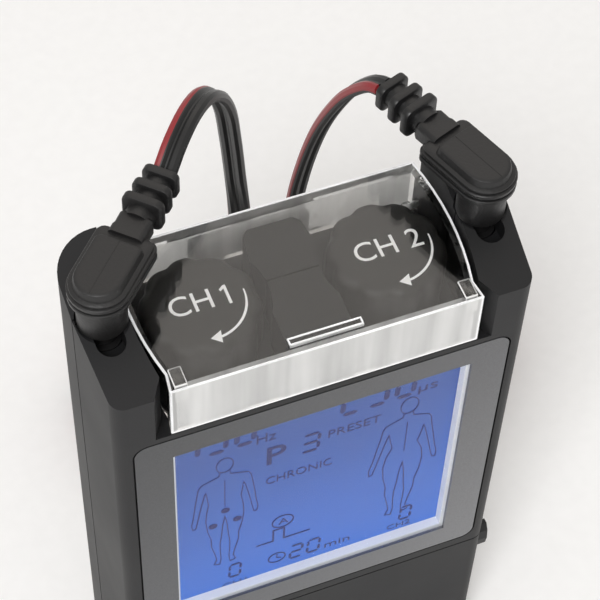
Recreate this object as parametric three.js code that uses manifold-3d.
// Two-channel TENS unit: a hand-held nerve stimulator that stands on its bottom end.
// Millimetres, +Z up, +Y towards the back. Inside this file y is measured from the front face;
// the whole group is moved at the end so that the origin is at the bottom centre of the unit.
import * as THREE from "three";
import { mergeVertices } from "three/addons/utils/BufferGeometryUtils.js";
import Module from "manifold-3d";

const wasm = await Module();
wasm.setup();

// ---------- driving dimensions ----------
const GAP = 0.3; // clearance between pieces that touch or slide
const caseDepth = 27; // front face to back face
const frontHalf = 32.5; // half width at the front face
const waistHalf = frontHalf + 1; // half width at the seam and behind it
const wall = 2; // shell wall
const seamY = 14.6; // plane where the two shells meet
const frontEdgeR = 2.2; // upright front edges
const backEdgeR = 7; // upright back edges
const deckZ = 101.3; // floor of the well that holds the knobs
const shoulderZ = 111.5; // shoulder height at the front face
const shoulderRise = 0.242; // shoulder height gained per mm of depth
const clipProud = 7.5; // how far the belt clip stands behind the back face

const fascia = { width: 59.5, bottom: 38.7, top: 99.9, radius: 2.2, thick: 0.5 };
const screen = { width: 47.8, bottom: 44.2, top: 95.1 }; // opening in the fascia
const surroundRim = 0.5; // width of the ledge that carries the clear window
const surroundWall = 1.1;
const surroundDepth = 1.5;
const glass = { width: 52, height: 55, thick: 1.8 };
const backlightThick = 1.5;
const board = { width: 48, bottom: 61, top: 88, thick: 1.6, y: 7 };

const knob = { x: 14.6, y: 13.9, radius: 9.2, lobes: 10, notchDepth: 0.5, top: 110.7, skirt: 0.6 };
const shaftR = 1.5;
const bushing = { radius: 3.3, rise: 1.3 };
const pot = { radius: 5.8, height: 9 };

const bridge = { half: 5.2, waistR: knob.radius + 1.3, front: 2.6, back: caseDepth - 2.7, topFront: 109.4, topSeam: 110.2 };

const cover = {
  frontHalf: 24, // half width of the front wall
  neckHalf: 23.6, // half width just behind the front wall
  bulgeHalf: knob.x + knob.radius + 1.4, // half width beside the knobs
  backHalf: 24.1,
  neckY: 3,
  backY: caseDepth - 0.4,
  bottom: 101.6,
  top: 112.5,
  roof: 1.3,
  side: 1.1,
  frontWall: 1.4,
};
const coverPin = { y: caseDepth - 1.6, z: 103.1, radius: 0.5, inner: 22.2, outer: 27.6 };
const fingerBar = { half: 5.7, y0: 1.2, y1: 2.5, rise: 0.7 };
const wellHalf = cover.bulgeHalf + 0.5; // half width of the well between the shoulders

const door = {
  top: 36.2,
  bottom: 1.6,
  thick: 1.9,
  cheekDepth: 5,
  cheekThick: 1.6,
  lugTop: 6.8, // the case's lugs stand below this height
  lugHalf: frontHalf - 2.9,
  hingeThick: 2.6, // thickness of the band that the pins run in
  hingeTop: 5,
};
const doorPin = { y: 1.3, z: 2.9, radius: 0.5, length: 3.4 };
const nub = { z: 32.4, y: 2.7, height: 7.4, radius: 1.5, proud: waistHalf + 0.5 };
const panel = { y: 2.9, thick: 1.6 }; // button panel behind the front door
const button = { radius: 3.2, length: 2.6, front: 2.2, flangeR: 3.9, flangeThick: 0.5, travel: 0.5 };
const buttonBoard = { half: 25, bottom: 5, top: 35, y: 5.9, thick: 1 };
const buttons = [
  { name: "program_button", x: -16, z: 27 },
  { name: "mode_button", x: 0, z: 27 },
  { name: "timer_button", x: 16, z: 27 },
  { name: "down_button", x: -8, z: 13 },
  { name: "up_button", x: 8, z: 13 },
];

const battery = { width: 26.5, depth: 17.4, height: 46.5, bottom: 9.6, y: 7.4, stud: 2 };
const batteryDoor = { half: battery.width / 2 + 3.75, bottom: 7, top: 59.6, thick: 1.7, travel: 5, ledge: 1.5 };
const clip = {
  half: 9.8,
  bottom: 50,
  top: 99,
  thick: 1.8,
  y: caseDepth + 5.7,
  pinZ: 92,
  pinY: caseDepth + 5.9,
  pinR: 0.6,
  barrelR: 1.6,
};
const screwAt = { x: waistHalf - 4.6, low: 12, high: 84 };
const screw = { headR: 2.3, headThick: 1.6, headY: caseDepth - 4.6, shankR: 1.1, tipY: 8.4, bossR: 2.5, seatR: 3.9 };
const transformer = { x: -12, y: 15.8, z: 64, width: 15, depth: 9, height: 14 };

const socket = { x: 29.25, y: 13.8, slotHalf: 2.2, slotReach: 3.8, slotBottom: 110.5, radius: 2.6, boreR: 1.35, bottom: 97 };
const plug = {
  seatZ: 114.2, // flat that the barrel stands on
  barrelR: 3.7,
  headBottom: 120.5,
  headTop: 123.6,
  panelTop: 124.8,
  headHalf: 4.7,
  headReach: 9.6, // head length behind the barrel's axis
  panelHalf: 3.6,
  panelReach: 6.9,
  neckHalf: 2.7,
  neckReach: 12.6,
  coreR: 1.9,
  ribR: 3,
  ribs: 3,
  ribThick: 1.5,
  ribPitch: 2.9,
  reach: 20.6, // barrel axis to the end of the strain relief
  leadZ: 122.7,
  noseR: 1.9,
  pinR: 1,
};
const plugTurn = { ch1: 46, ch2: 110 }; // direction of each lead from above, degrees from +X

// ---------- solids ----------
function solid(geometry) {
  const bare = geometry.index ? geometry.toNonIndexed() : geometry.clone();
  bare.deleteAttribute("normal");
  bare.deleteAttribute("uv");
  const merged = mergeVertices(bare, 1e-4);
  return new wasm.Manifold(
    new wasm.Mesh({
      numProp: 3,
      vertProperties: new Float32Array(merged.attributes.position.array),
      triVerts: new Uint32Array(merged.index.array),
    }),
  );
}

const toY = new THREE.Matrix4().makeBasis(
  new THREE.Vector3(1, 0, 0),
  new THREE.Vector3(0, 0, 1),
  new THREE.Vector3(0, -1, 0),
);
const toX = new THREE.Matrix4().makeBasis(
  new THREE.Vector3(0, 1, 0),
  new THREE.Vector3(0, 0, 1),
  new THREE.Vector3(1, 0, 0),
);

function extrude(shape, depth, curveSegments = 6) {
  return new THREE.ExtrudeGeometry(shape, { depth, bevelEnabled: false, curveSegments });
}
// A prism of a plan outline (x, y) between two heights.
function prismZ(shape, z0, z1, segments) {
  return solid(extrude(shape, z1 - z0, segments).translate(0, 0, z0));
}
// A prism of a front-view outline (x, z) between two depths.
function prismY(shape, y0, y1, segments) {
  return solid(extrude(shape, y1 - y0, segments).applyMatrix4(toY).translate(0, y1, 0));
}
// A prism of a side-view outline (y, z) between two x places.
function prismX(shape, x0, x1, segments) {
  return solid(extrude(shape, x1 - x0, segments).applyMatrix4(toX).translate(x0, 0, 0));
}
function polygon(points) {
  return new THREE.Shape(points.map(([a, b]) => new THREE.Vector2(a, b)));
}
function box(x0, x1, y0, y1, z0, z1) {
  const g = new THREE.BoxGeometry(x1 - x0, y1 - y0, z1 - z0);
  return solid(g.translate((x0 + x1) / 2, (y0 + y1) / 2, (z0 + z1) / 2));
}
function disc(x, y, radius) {
  const s = new THREE.Shape();
  s.absarc(x, y, radius, 0, 2 * Math.PI);
  return s;
}
function rodZ(x, y, radius, z0, z1, segments = 12) {
  return prismZ(disc(x, y, radius), z0, z1, segments);
}
function rodY(x, z, radius, y0, y1, segments = 10) {
  return prismY(disc(x, z, radius), y0, y1, segments);
}
function rodX(y, z, radius, x0, x1, segments = 8) {
  return prismX(disc(y, z, radius), x0, x1, segments);
}
function roundedRect(x0, x1, y0, y1, r) {
  const s = new THREE.Shape();
  s.moveTo(x0 + r, y0);
  s.lineTo(x1 - r, y0);
  s.absarc(x1 - r, y0 + r, r, -Math.PI / 2, 0);
  s.lineTo(x1, y1 - r);
  s.absarc(x1 - r, y1 - r, r, 0, Math.PI / 2);
  s.lineTo(x0 + r, y1);
  s.absarc(x0 + r, y1 - r, r, Math.PI / 2, Math.PI);
  s.lineTo(x0, y0 + r);
  s.absarc(x0 + r, y0 + r, r, Math.PI, 1.5 * Math.PI);
  return s;
}
function union(first, ...others) {
  return others.reduce((sum, s) => sum.add(s), first);
}
function cut(first, ...others) {
  return others.reduce((left, s) => left.subtract(s), first);
}

// ---------- materials ----------
function material(color, roughness, metalness = 0, extra = {}) {
  return new THREE.MeshStandardMaterial({ color, roughness, metalness, ...extra });
}
const blackCase = material(0x1c1c1d, 0.55);
const blackKnob = material(0x262524, 0.5);
const blackRubber = material(0x1a1a1a, 0.6);
const blackLead = material(0x141414, 0.45);
const gunMetal = material(0x77787b, 0.35, 0.9);
const lightGrey = material(0xb9bcc0, 0.6);
const displayBlue = material(0x2f55a8, 0.3, 0, { emissive: 0x1b3a8a });
const clear = material(0xe8ecee, 0.08, 0, { transparent: true, opacity: 0.3 });
const steel = material(0xb8babd, 0.3, 1);
const boardGreen = material(0x1f5a34, 0.5);
const buttonGrey = material(0x8d9093, 0.6);
const cellBlack = material(0x2b2e33, 0.4);
const copperBrown = material(0x6b4a2b, 0.5);

// ---------- scene ----------
const group = new THREE.Group();
group.position.y = -(caseDepth + clipProud) / 2;

function place(name, manifold, finish) {
  const { vertProperties, triVerts, numProp } = manifold.getMesh();
  const positions = new Float32Array((vertProperties.length / numProp) * 3);
  for (let i = 0; i < positions.length / 3; i++)
    for (let k = 0; k < 3; k++) positions[3 * i + k] = vertProperties[numProp * i + k];
  const g = new THREE.BufferGeometry();
  g.setAttribute("position", new THREE.BufferAttribute(positions, 3));
  g.setIndex([...triVerts]);
  g.computeVertexNormals();
  const mesh = new THREE.Mesh(g, finish);
  mesh.name = name;
  group.add(mesh);
  return mesh;
}

// ---------- case ----------
function caseOutline(inset) {
  const f = frontHalf - inset;
  const w = waistHalf - inset;
  const rf = Math.max(frontEdgeR - inset, 0.4);
  const rb = backEdgeR - inset;
  const y0 = inset;
  const y1 = caseDepth - inset;
  const s = new THREE.Shape();
  s.moveTo(-f + rf, y0);
  s.lineTo(f - rf, y0);
  s.absarc(f - rf, y0 + rf, rf, -Math.PI / 2, 0);
  s.lineTo(w, seamY);
  s.lineTo(w, y1 - rb);
  s.absarc(w - rb, y1 - rb, rb, 0, Math.PI / 2);
  s.lineTo(-w + rb, y1);
  s.absarc(-w + rb, y1 - rb, rb, Math.PI / 2, Math.PI);
  s.lineTo(-w, seamY);
  s.lineTo(-f, y0 + rf);
  s.absarc(-f + rf, y0 + rf, rf, Math.PI, 1.5 * Math.PI);
  return s;
}

const shoulderTop = (y) => shoulderZ + shoulderRise * y;

// Plan outline of the well between the shoulders: it flares at the front and follows the cover.
function wellOutline() {
  const flareHalf = 26.4;
  const flareEnd = 3.1;
  const neck = cover.neckHalf + 0.9;
  const side = [
    [flareHalf, -1],
    [flareHalf, 0],
    [neck, flareEnd],
    [neck + 0.5, 6],
    [wellHalf - 0.2, 9.5],
    [wellHalf, 13],
    [wellHalf, caseDepth + 1],
  ];
  const mirrored = side.map(([x, y]) => [-x, y]).reverse();
  return polygon([...side, ...mirrored]);
}

// The bridge between the knobs: its flanks are hollowed out round them.
function bridgeOutline() {
  const { half, waistR, front, back } = bridge;
  const arc = [];
  const steps = 8;
  const spread = Math.acos((knob.x - half) / waistR);
  for (let i = 0; i <= steps; i++) {
    const a = spread * ((2 * i) / steps - 1);
    arc.push([knob.x - waistR * Math.cos(a), knob.y + waistR * Math.sin(a)]);
  }
  const backHalf = half - 0.6;
  const corner = 1;
  const right = [
    [half, front],
    ...arc,
    [backHalf, back - corner],
    [backHalf - corner, back],
  ];
  const left = right.map(([x, y]) => [-x, y]).reverse();
  return polygon([...right, ...left]);
}

function bridgeSolid() {
  const { front, back, topFront, topSeam } = bridge;
  const profile = polygon([
    [front - 1, deckZ - 1],
    [back + 1, deckZ - 1],
    [back + 1, topSeam],
    [seamY, topSeam],
    [front - 1, topFront],
  ]);
  return prismZ(bridgeOutline(), deckZ - 0.6, topSeam + 1).intersect(
    prismX(profile, -bridge.half - 1, bridge.half + 1),
  );
}

function socketCuts(side) {
  const x = side * socket.x;
  const { y, slotHalf, slotReach, slotBottom } = socket;
  const slot = new THREE.Shape();
  slot.absarc(x, y + slotReach, slotHalf, 0, Math.PI);
  slot.absarc(x, y - slotReach, slotHalf, Math.PI, 2 * Math.PI);
  return union(
    prismZ(slot, slotBottom, 130),
    rodZ(x, y, plug.barrelR + GAP, plug.seatZ - GAP, 130, 16),
    rodZ(x, y, socket.radius + GAP, socket.bottom - 1, slotBottom + 0.01),
  );
}

function screwPlaces() {
  const { x, low, high } = screwAt;
  return [
    [-x, low],
    [x, low],
    [-x, high],
    [x, high],
  ];
}

function caseSolid() {
  const tall = shoulderTop(caseDepth) + 2;
  const overShoulders = prismX(
    polygon([
      [-1, shoulderTop(-1)],
      [caseDepth + 1, shoulderTop(caseDepth + 1)],
      [caseDepth + 1, tall + 5],
      [-1, tall + 5],
    ]),
    -waistHalf - 1,
    waistHalf + 1,
  );
  const body = cut(
    prismZ(caseOutline(0), 0, tall, 5),
    overShoulders,
    prismZ(wellOutline(), deckZ, tall + 1),
  );
  return union(body, bridgeSolid());
}

const lowerZone = { top: 38.5, inner: 28.4, depth: 7.3 }; // thicker walls round the front door
const doorFrame = { half: 20, front: 23.2, top: 62, openBottom: 9.4, openTop: 58.1 }; // battery opening

function cavity() {
  return cut(
    prismZ(caseOutline(wall), wall, deckZ - wall, 4),
    box(-40, 40, -1, panel.y + panel.thick, 0, lowerZone.top),
    box(-40, -lowerZone.inner, -1, lowerZone.depth, 0, lowerZone.top),
    box(lowerZone.inner, 40, -1, lowerZone.depth, 0, lowerZone.top),
    box(-doorFrame.half, doorFrame.half, doorFrame.front, caseDepth, 0, doorFrame.top),
  );
}

function doorRecess() {
  const inner = frontHalf - door.cheekThick - GAP;
  return union(
    box(-inner - 0.01, inner + 0.01, -1, panel.y, door.bottom - GAP, door.top + GAP),
    box(inner, 40, -1, door.cheekDepth + GAP, door.lugTop - GAP, door.top + GAP),
    box(-40, -inner, -1, door.cheekDepth + GAP, door.lugTop - GAP, door.top + GAP),
  ).subtract(
    union(
      box(door.lugHalf + GAP, 40, -2, panel.y + 1, -1, door.lugTop - GAP),
      box(-40, -door.lugHalf - GAP, -2, panel.y + 1, -1, door.lugTop - GAP),
    ),
  );
}

function coverPinBores() {
  const { y, z, radius, inner, outer } = coverPin;
  return union(
    rodX(y, z, radius + GAP, inner, outer + GAP),
    rodX(y, z, radius + GAP, -outer - GAP, -inner),
  );
}

function frontShell() {
  const half = box(-50, 50, -5, seamY - GAP / 2, -1, 140);
  const screenZ0 = screen.bottom - surroundWall - GAP;
  const screenZ1 = screen.top + surroundWall + GAP;
  const screenHalf = screen.width / 2 + surroundWall + GAP;
  let shell = cut(caseSolid().intersect(half), cavity());
  const bosses = screwPlaces().map(([x, z]) => rodY(x, z, screw.bossR, 1.5, seamY - GAP / 2));
  shell = union(shell, ...bosses.map((b) => b.intersect(prismZ(caseOutline(wall / 2), 1, deckZ))));
  const fasciaSeat = prismY(
    roundedRect(
      -fascia.width / 2 - GAP,
      fascia.width / 2 + GAP,
      fascia.bottom - GAP,
      fascia.top + GAP,
      fascia.radius + GAP,
    ),
    -1,
    fascia.thick + GAP,
  );
  return cut(
    shell,
    fasciaSeat,
    box(-screenHalf, screenHalf, -1, wall + 1, screenZ0, screenZ1),
    doorRecess(),
    ...buttons.map((b) => rodY(b.x, b.z, button.radius + GAP, 0, panel.y + panel.thick + 0.5)),
    ...screwPlaces().map(([x, z]) => rodY(x, z, screw.shankR + GAP, screw.tipY, seamY + 1)),
    ...[-1, 1].map((s) => rodZ(s * knob.x, knob.y, bushing.radius + GAP, deckZ - wall - 1, deckZ + 0.5)),
    socketCuts(-1),
    socketCuts(1),
    ...[-1, 1].map((s) => doorPinBore(s)),
  );
}

function doorPinBore(s) {
  const { y, z, radius, length } = doorPin;
  const x0 = door.lugHalf - length / 2 - GAP;
  const x1 = door.lugHalf + length / 2 + GAP;
  return s > 0 ? rodX(y, z, radius + GAP, x0, x1) : rodX(y, z, radius + GAP, -x1, -x0);
}

function clipLug(s) {
  const { half, pinY, pinZ, barrelR } = clip;
  const x0 = half + GAP;
  const outline = new THREE.Shape();
  outline.moveTo(caseDepth - 1, pinZ - 4);
  outline.lineTo(pinY, pinZ - barrelR);
  outline.absarc(pinY, pinZ, barrelR, -Math.PI / 2, Math.PI / 2);
  outline.lineTo(caseDepth - 1, pinZ + 4);
  return s > 0 ? prismX(outline, x0, x0 + 2) : prismX(outline, -x0 - 2, -x0);
}

function backShell() {
  const half = box(-50, 50, seamY + GAP / 2, caseDepth + 5, -1, 140);
  let shell = cut(caseSolid().intersect(half), cavity());
  const bosses = screwPlaces().map(([x, z]) =>
    union(
      rodY(x, z, screw.bossR, seamY + GAP / 2, screw.headY),
      rodY(x, z, screw.seatR, screw.headY - 2.9, caseDepth - wall + 0.5),
    ),
  );
  shell = union(
    shell,
    ...bosses.map((b) => b.intersect(prismZ(caseOutline(wall / 2), 1, deckZ))),
    clipLug(-1),
    clipLug(1),
  );
  const doorHalf = batteryDoor.half + GAP;
  const openHalf = doorHalf - batteryDoor.ledge;
  const doorLow = batteryDoor.bottom - batteryDoor.travel - GAP;
  return cut(
    shell,
    box(-doorHalf, doorHalf, caseDepth - batteryDoor.thick - GAP, caseDepth + 1, doorLow, batteryDoor.top + GAP),
    box(-openHalf, openHalf, doorFrame.front - 1, caseDepth + 1, doorFrame.openBottom, doorFrame.openTop),
    ...screwPlaces().map(([x, z]) => rodY(x, z, screw.shankR + GAP, seamY - 1, caseDepth)),
    ...screwPlaces().map(([x, z]) => rodY(x, z, screw.headR + GAP, screw.headY - GAP, caseDepth + 3)),
    ...[-1, 1].map((s) => rodZ(s * knob.x, knob.y, bushing.radius + GAP, deckZ - wall - 1, deckZ + 0.5)),
    socketCuts(-1),
    socketCuts(1),
    coverPinBores(),
    rodX(clip.pinY, clip.pinZ, clip.pinR + GAP, -clip.half - 1.8, clip.half + 1.8),
  );
}

// ---------- display stack ----------
function fasciaPlate() {
  const { width, bottom, top, radius, thick } = fascia;
  return cut(
    prismY(roundedRect(-width / 2, width / 2, bottom, top, radius), 0, thick),
    box(-screen.width / 2, screen.width / 2, -1, thick + 1, screen.bottom, screen.top),
  );
}
function clearWindow() {
  const half = screen.width / 2 - GAP;
  return box(-half, half, 0, fascia.thick, screen.bottom + GAP, screen.top - GAP);
}
function displaySurround() {
  const y0 = fascia.thick + GAP;
  const outer = screen.width / 2 + surroundWall;
  const inner = screen.width / 2 - surroundRim;
  return cut(
    box(-outer, outer, y0, y0 + surroundDepth, screen.bottom - surroundWall, screen.top + surroundWall),
    box(-inner, inner, y0 - 1, y0 + surroundDepth + 1, screen.bottom + surroundRim, screen.top - surroundRim),
  );
}
const glassY = fascia.thick + GAP + surroundDepth + GAP;
const glassMidZ = (screen.bottom + screen.top) / 2;
function displayGlass() {
  const { width, height, thick } = glass;
  return box(-width / 2, width / 2, glassY, glassY + thick, glassMidZ - height / 2, glassMidZ + height / 2);
}
function backlight() {
  const y = glassY + glass.thick + GAP;
  const w = glass.width / 2 - 0.5;
  const h = glass.height / 2 - 0.5;
  return box(-w, w, y, y + backlightThick, glassMidZ - h, glassMidZ + h);
}

// ---------- controls ----------
// Knob outline: long flat lobes with a shallow rounded notch between neighbours.
function knobOutline() {
  const steps = 12 * knob.lobes;
  const points = [];
  for (let i = 0; i < steps; i++) {
    const a = (2 * Math.PI * i) / steps;
    const phase = Math.cos((a * knob.lobes) / 2) ** 2;
    const r = knob.radius - knob.notchDepth * phase ** 2;
    points.push([r * Math.cos(a), r * Math.sin(a)]);
  }
  return polygon(points);
}
function knobSolid() {
  const bottom = deckZ + knob.skirt;
  return cut(
    prismZ(knobOutline(), bottom, knob.top),
    rodZ(0, 0, bushing.radius + 2 * GAP, bottom - 1, deckZ + bushing.rise + GAP + 0.3),
    rodZ(0, 0, shaftR + GAP, bottom, knob.top - 2),
  );
}
function potSolid() {
  const top = deckZ - wall - GAP;
  return cut(
    union(
      rodZ(0, 0, pot.radius, top - pot.height, top, 16),
      rodZ(0, 0, bushing.radius, top - 1, deckZ + bushing.rise),
    ),
    rodZ(0, 0, shaftR + GAP, top - pot.height + 1, deckZ + bushing.rise + 1),
  );
}
function shaftSolid() {
  const bottom = deckZ - wall - GAP - pot.height + 1 + GAP;
  return rodZ(0, 0, shaftR, bottom, knob.top - 2 - GAP);
}
function buttonSolid() {
  const { radius, length, front, flangeR, flangeThick } = button;
  const back = panel.y + panel.thick + GAP;
  return union(
    rodY(0, 0, radius, front, Math.max(front + length, back + 0.1)),
    rodY(0, 0, flangeR, back, back + flangeThick),
  );
}

// ---------- clear cover over the knobs ----------
// Half-width of the cover at depth y, an arc from the neck to the back.
function coverHalfWidth(y, inset) {
  const { neckY, backY, neckHalf, bulgeHalf, backHalf } = cover;
  const t = (y - neckY) / (backY - neckY);
  const chord = neckHalf + (backHalf - neckHalf) * t;
  const swell = bulgeHalf - (neckHalf + backHalf) / 2;
  return chord + 4 * swell * t * (1 - t) - inset;
}
function coverOutline(inset, frontInset, backInset) {
  const right = [];
  const y0 = frontInset;
  const y1 = cover.backY - backInset;
  const steps = 8;
  right.push([cover.frontHalf - inset, y0]);
  const begin = Math.max(cover.neckY, y0 + 0.5);
  for (let i = 0; i <= steps; i++) {
    const y = begin + ((y1 - begin) * i) / steps;
    right.push([coverHalfWidth(y, inset), y]);
  }
  const left = right.map(([x, y]) => [-x, y]).reverse();
  return polygon([...right, ...left]);
}
function knobCover() {
  const { bottom, top, roof, side, frontWall, backY } = cover;
  const { y, z, radius, inner } = coverPin;
  const shell = cut(
    prismZ(coverOutline(0, 0, 0), bottom, top),
    prismZ(coverOutline(side, frontWall, 1.3), bottom - 1, top - roof),
  );
  const knuckle = (s) => (s > 0 ? rodX(y, z, 1.2, inner, 24.05) : rodX(y, z, 1.2, -24.05, -inner));
  const heel = cut(box(-40, 40, backY - 3, backY + 1, bottom - 1, z), box(-40, 40, 0, backY - 1.3 - 1.2, 0, z));
  return cut(
    union(
      shell.subtract(heel),
      knuckle(-1),
      knuckle(1),
      box(-fingerBar.half, fingerBar.half, fingerBar.y0, fingerBar.y1, top - 0.2, top + fingerBar.rise),
    ),
    rodX(y, z, radius + GAP, inner - 1, 26),
    rodX(y, z, radius + GAP, -26, -inner + 1),
  );
}

// ---------- front door ----------
function frontDoor() {
  const { top, bottom, thick, cheekDepth, cheekThick, lugTop, lugHalf, hingeThick, hingeTop } = door;
  const outline = prismZ(caseOutline(0), bottom, top, 5);
  const inner = frontHalf - cheekThick;
  const blank = outline.intersect(box(-40, 40, -1, cheekDepth, bottom, top));
  const hollow = union(
    box(-inner, inner, thick, cheekDepth + 1, hingeTop, top + 1),
    box(-inner, inner, hingeThick, cheekDepth + 1, 0, hingeTop + 0.1),
  );
  const corners = union(
    box(lugHalf, 40, -1, cheekDepth + 1, 0, lugTop),
    box(-40, -lugHalf, -1, cheekDepth + 1, 0, lugTop),
  );
  const heel = cut(box(-40, 40, -1, 3, 0, doorPin.z), rodX(doorPin.y, doorPin.z, hingeThick / 2, -41, 41, 10));
  const bump = new THREE.Shape();
  bump.absellipse(nub.y, nub.z, nub.radius, nub.height / 2, 0, 2 * Math.PI);
  const nubs = union(prismX(bump, frontHalf - 1, nub.proud, 5), prismX(bump, -nub.proud, 1 - frontHalf, 5));
  return cut(union(cut(blank, hollow, corners, heel), nubs), doorPinBore(-1), doorPinBore(1));
}

// ---------- back: battery, battery door, clip ----------
function batterySolid() {
  const { width, depth, height, bottom, y, stud } = battery;
  const top = bottom + height;
  const midY = y + depth / 2;
  return union(
    prismZ(roundedRect(-width / 2, width / 2, y, y + depth, 2), bottom, top, 3),
    rodZ(-6.4, midY, 2.8, top - 0.1, top + stud, 6),
    rodZ(6.4, midY, 2.8, top - 0.1, top + stud, 6),
  );
}
function batterySnap() {
  const z = battery.bottom + battery.height + battery.stud + GAP;
  const midY = battery.y + battery.depth / 2;
  return prismZ(roundedRect(-12, 12, midY - 6, midY + 6, 3), z, z + 1.6, 4);
}
function batteryDoorSolid() {
  const { half, bottom, top, thick } = batteryDoor;
  const grip = [];
  for (let i = 0; i < 4; i++) grip.push(box(-7, 7, caseDepth - 0.6, caseDepth + 1, top - 6 - 2 * i, top - 5 - 2 * i));
  return cut(box(-half, half, caseDepth - thick, caseDepth, bottom, top), ...grip);
}
function beltClip() {
  const { half, bottom, top, thick, y, pinY, pinZ, pinR, barrelR } = clip;
  const toe = caseDepth + 0.6;
  const profile = polygon([
    [y, top],
    [y + thick, top],
    [y + thick, bottom + 6],
    [toe + 2.6, bottom],
    [toe, bottom],
    [toe, bottom + 1.2],
    [y, bottom + 7.5],
  ]);
  return cut(
    union(prismX(profile, -half, half), rodX(pinY, pinZ, barrelR, -half, half, 10)),
    rodX(pinY, pinZ, pinR + GAP, -half - 1, half + 1),
  );
}
function caseScrew(x, z) {
  const { headR, headThick, headY, shankR, tipY } = screw;
  return union(
    rodY(x, z, headR, headY, headY + headThick, 8),
    rodY(x, z, shankR, tipY + GAP, headY + 0.1, 6),
  );
}
function transformerSolid() {
  const { x, y, z, width, depth, height } = transformer;
  return union(
    box(x - width / 2, x + width / 2, y - depth / 2, y + depth / 2, z + 2, z + height - 2),
    box(x - width / 2 + 3, x + width / 2 - 3, y - depth / 2 - 1.5, y + depth / 2 + 1.5, z, z + height),
  );
}

// ---------- output sockets and plugs ----------
function socketSolid(side) {
  const x = side * socket.x;
  return cut(
    rodZ(x, socket.y, socket.radius, socket.bottom, socket.slotBottom - GAP),
    rodZ(x, socket.y, socket.boreR, socket.bottom + 2, socket.slotBottom + 1, 8),
  );
}
// A flat-sided head with one round end: half width w, from the axis back to length r.
function headShape(w, r, round) {
  const s = new THREE.Shape();
  s.absarc(0, 0, w, Math.PI / 2, 1.5 * Math.PI);
  s.lineTo(r - round, -w);
  s.lineTo(r, -w + round);
  s.lineTo(r, w - round);
  s.lineTo(r - round, w);
  return s;
}
// The plug lies along +X from its pin's axis; it is turned into place afterwards.
function plugHousing() {
  const p = plug;
  const neckBottom = p.leadZ - 2.1;
  const ribStart = p.neckReach + 0.9;
  const slices = [];
  for (let i = 0; i < p.ribs; i++) {
    const x = ribStart + i * p.ribPitch;
    slices.push(rodX(0, p.leadZ, p.ribR, x, x + p.ribThick, 14));
  }
  return cut(
    union(
      rodZ(0, 0, p.barrelR, p.seatZ, p.headBottom + 1, 20),
      prismZ(headShape(p.headHalf, p.headReach, 1), p.headBottom, p.headTop, 14),
      prismZ(headShape(p.panelHalf, p.panelReach, 0.4), p.headTop - 0.5, p.panelTop, 14),
      box(p.headReach - 2, p.neckReach, -p.neckHalf, p.neckHalf, neckBottom, p.leadZ + 1.6),
      rodX(0, p.leadZ, p.coreR, p.neckReach - 1, p.reach, 10),
      ...slices,
      rodZ(0, 0, p.noseR, socket.slotBottom + GAP, p.seatZ + 0.5),
    ),
    rodZ(0, 0, p.pinR + GAP, socket.slotBottom - 1, p.seatZ + 1.5, 8),
  );
}
function plugPin() {
  return rodZ(0, 0, plug.pinR, socket.bottom + 2 + GAP, plug.seatZ + 1.5 - GAP, 8);
}

// ---------- leads ----------
const leadWidth = 3.8; // two 1.9 mm wires side by side
const leadR = leadWidth / 2;
const wireR = 0.95;

// Hand-laid routes of the part of each lead between its plug and its coil.
const leadRoutes = {
  ch1: [
    [-14.3, 29.5, 122.9],
    [-11.8, 32.2, 125.0],
    [-8.3, 35.8, 126.3],
    [-4.9, 39.4, 124.9],
    [-1.8, 42.6, 120.6],
    [0.5, 45.0, 113.9],
    [1.9, 46.4, 105.0],
    [3.2, 47.7, 94.0],
    [4.5, 49.1, 82.0],
    [5.2, 50.2, 70.0],
    [5.2, 51.2, 56.0],
    [4.2, 51.9, 42.0],
    [3.2, 53.6, 29.0],
    [3.0, 56.0, 18.0],
    [4.1, 58.2, 9.5],
    [6.7, 59.4, 4.4],
    [10.1, 62.8, 2.4],
  ],
  ch2: [
    [21.85, 34.2, 122.3],
    [21.2, 36.4, 121.0],
    [19.7, 40.5, 115.6],
    [18.5, 43.7, 109.0],
    [17.4, 46.8, 100.6],
    [16.3, 49.6, 89.0],
    [15.5, 51.6, 76.0],
    [15.6, 52.6, 62.0],
    [16.8, 52.4, 48.0],
    [18.6, 51.8, 35.0],
    [20.8, 51.0, 23.0],
    [23.2, 49.8, 13.0],
    [26.2, 48.0, 5.8],
    [29.6, 45.6, 2.8],
    [33.5, 43.1, 2.3],
  ],
};
const coil = { innerR: 13.2, outerR: 22.5 };
const coilPlaces = {
  ch1: { x: 1, y: 68, height: 10.4, tieAngle: 160 },
  ch2: { x: 47, y: 68, height: 10.4, tieAngle: 160 },
};
const tie = { thick: 0.8, width: 4 };
const splitter = { x: 0, y: -18.6, length: 12, width: 7, height: 4.4 };
// Routes of the two short wires of a lead, in the coil's own frame; z is above the coil.
const branchRoutes = {
  a: [
    [6.6, -20.4, 2.5],
    [12, -18.2, 1.5],
    [17, -13.4, 1.3],
    [20.3, -6, 1.3],
    [21, 2, 1.3],
    [19.2, 9.5, 1.3],
    [15.4, 15.4, 1.7],
    [11.2, 17.9, 2.5],
    [8.4, 18, 2.7],
  ],
  b: [
    [6.6, -16.8, 2.5],
    [10.5, -14.4, 1.5],
    [14.3, -10, 1.3],
    [16.4, -4, 1.3],
    [16.5, 2, 1.3],
    [14.9, 7.4, 1.7],
    [12, 10.8, 2.5],
    [9.4, 11.5, 2.7],
  ],
};
const pinPlug = { bodyR: 2.4, bodyLength: 14, pinR: 1, pinLength: 10, z: 2.7 };
const pinStarts = { a: [8.1, 18], b: [9.1, 11.5] };

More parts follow.
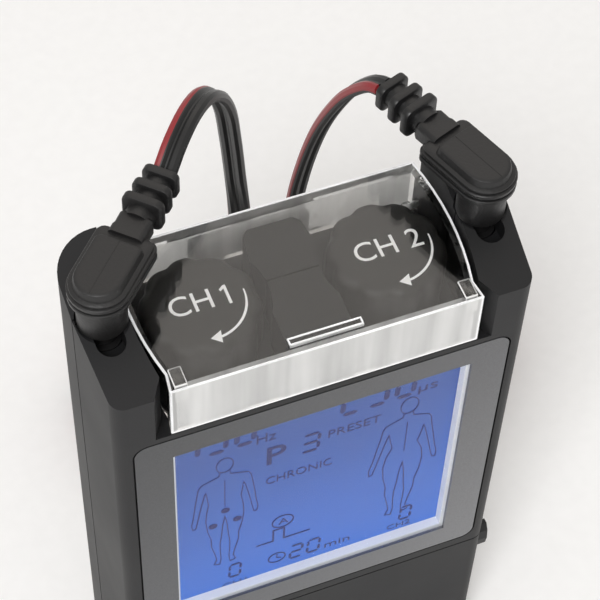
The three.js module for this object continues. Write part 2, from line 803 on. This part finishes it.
function tubeAlong(points, radius, sides, step) {
  const curve = new THREE.CatmullRomCurve3(
    points.map(([x, y, z]) => new THREE.Vector3(x, y, z)),
    false,
    "centripetal",
  );
  const steps = Math.max(4, Math.round(curve.getLength() / step));
  const section = new THREE.Shape();
  for (let i = 0; i < sides; i++) {
    const a = (2 * Math.PI * i) / sides;
    if (i === 0) section.moveTo(radius * Math.cos(a), radius * Math.sin(a));
    else section.lineTo(radius * Math.cos(a), radius * Math.sin(a));
  }
  return solid(new THREE.ExtrudeGeometry(section, { steps, bevelEnabled: false, extrudePath: curve }));
}
function coilSolid({ x, y, height }) {
  const { innerR, outerR } = coil;
  const ring = [
    [innerR + 0.8, 0],
    [outerR - 0.8, 0],
    [outerR, 0.8],
    [outerR, height - 0.8],
    [outerR - 0.8, height],
    [innerR + 0.8, height],
    [innerR, height - 0.8],
    [innerR, 0.8],
    [innerR + 0.8, 0],
  ].map(([r, z]) => new THREE.Vector2(r, z));
  const g = new THREE.LatheGeometry(ring, 32);
  return solid(g.rotateX(Math.PI / 2).translate(x, y, 0));
}

// The coil as laid on the floor: a ring, channelled underneath where the tie passes.
function coilRing({ x, y, height, tieAngle }) {
  const channel = box(0, coil.outerR + 2, -tie.width / 2 - GAP, tie.width / 2 + GAP, -1, tie.thick + GAP);
  return coilSolid({ x: 0, y: 0, height })
    .subtract(channel.rotate([0, 0, tieAngle]))
    .translate([x, y, 0]);
}
function tieLoop({ x, y, height, tieAngle }) {
  const { thick, width } = tie;
  const r0 = coil.innerR - GAP;
  const r1 = coil.outerR + GAP;
  const z1 = height + GAP;
  return cut(
    box(r0 - thick, r1 + thick, -width / 2, width / 2, 0, z1 + thick),
    box(r0, r1, -width, width, thick, z1),
  )
    .rotate([0, 0, tieAngle])
    .translate([x, y, 0]);
}
function splitterSolid({ x, y, height }) {
  const { length, width } = splitter;
  const cx = x + splitter.x;
  const cy = y + splitter.y;
  const outline = roundedRect(cx - length / 2, cx + length / 2, cy - width / 2, cy + width / 2, 1.5);
  return prismZ(outline, height + GAP, height + GAP + splitter.height, 3);
}
function branchTube({ x, y, height }, route) {
  return tubeAlong(
    route.map(([px, py, pz]) => [x + px, y + py, height + pz]),
    wireR,
    8,
    3.2,
  );
}
function pinConnector({ x, y, height }, [px, py]) {
  const { bodyR, bodyLength, pinR, pinLength, z } = pinPlug;
  const x1 = x + px;
  const z0 = height + z;
  const x0 = x1 - bodyLength;
  return union(
    rodX(y + py, z0, bodyR, x0, x1, 12),
    rodX(y + py, z0, pinR, x0 - pinLength, x0 + 0.5, 8),
  );
}

// ---------- assembly ----------
place("front_shell", frontShell(), blackCase);
place("back_shell", backShell(), blackCase);
place("bezel_plate", fasciaPlate(), gunMetal);
place("display_window", clearWindow(), clear);
place("display_surround", displaySurround(), lightGrey);
place("display_glass", displayGlass(), displayBlue);
place("backlight", backlight(), lightGrey);
place(
  "circuit_board",
  box(-board.width / 2, board.width / 2, board.y, board.y + board.thick, board.bottom, board.top),
  boardGreen,
);
place("transformer", transformerSolid(), copperBrown);
place(
  "button_board",
  box(
    -buttonBoard.half,
    buttonBoard.half,
    buttonBoard.y,
    buttonBoard.y + buttonBoard.thick,
    buttonBoard.bottom,
    buttonBoard.top,
  ),
  boardGreen,
);
for (const b of buttons) place(b.name, buttonSolid().translate([b.x, 0, b.z]), buttonGrey);

place("knob_cover", knobCover(), clear);
place("front_door", frontDoor(), blackCase);
place("battery_door", batteryDoorSolid(), blackCase);
place("battery", batterySolid(), cellBlack);
place("battery_snap", batterySnap(), blackRubber);
place("belt_clip", beltClip(), blackCase);
place("clip_pin", rodX(clip.pinY, clip.pinZ, clip.pinR, -clip.half - 1.5, clip.half + 1.5, 8), steel);
screwPlaces().forEach(([x, z], i) => place(`case_screw_${i + 1}`, caseScrew(x, z), steel));

for (const [side, hand] of [
  [-1, "left"],
  [1, "right"],
]) {
  const spanX = (inner, outer) => (side > 0 ? [inner, outer] : [-outer, -inner]);
  const pinX = spanX(coverPin.inner, coverPin.outer);
  const half = doorPin.length / 2;
  const doorX = spanX(door.lugHalf - half, door.lugHalf + half);
  place(`cover_pin_${hand}`, rodX(coverPin.y, coverPin.z, coverPin.radius, ...pinX), steel);
  place(`door_pin_${hand}`, rodX(doorPin.y, doorPin.z, doorPin.radius, ...doorX), steel);
}

for (const [ch, side] of [
  ["ch1", -1],
  ["ch2", 1],
]) {
  const atKnob = [side * knob.x, knob.y, 0];
  place(`${ch}_knob`, knobSolid().translate(atKnob), blackKnob);
  place(`${ch}_shaft`, shaftSolid().translate(atKnob), steel);
  place(`${ch}_pot`, potSolid().translate(atKnob), steel);
  place(`${ch}_socket`, socketSolid(side), blackRubber);

  const atSocket = [side * socket.x, socket.y, 0];
  place(`${ch}_plug`, plugHousing().rotate([0, 0, plugTurn[ch]]).translate(atSocket), blackRubber);
  place(`${ch}_plug_pin`, plugPin().translate(atSocket), steel);

  const spot = coilPlaces[ch];
  place(`${ch}_lead`, tubeAlong(leadRoutes[ch], leadR, 8, 8), blackLead);
  place(`${ch}_coil`, coilRing(spot), blackLead);
  place(`${ch}_tie`, tieLoop(spot), blackRubber);
  place(`${ch}_splitter`, splitterSolid(spot), blackRubber);
  for (const wire of ["a", "b"]) {
    place(`${ch}_wire_${wire}`, branchTube(spot, branchRoutes[wire]), blackLead);
    place(`${ch}_pin_${wire}`, pinConnector(spot, pinStarts[wire]), steel);
  }
}

export default group;
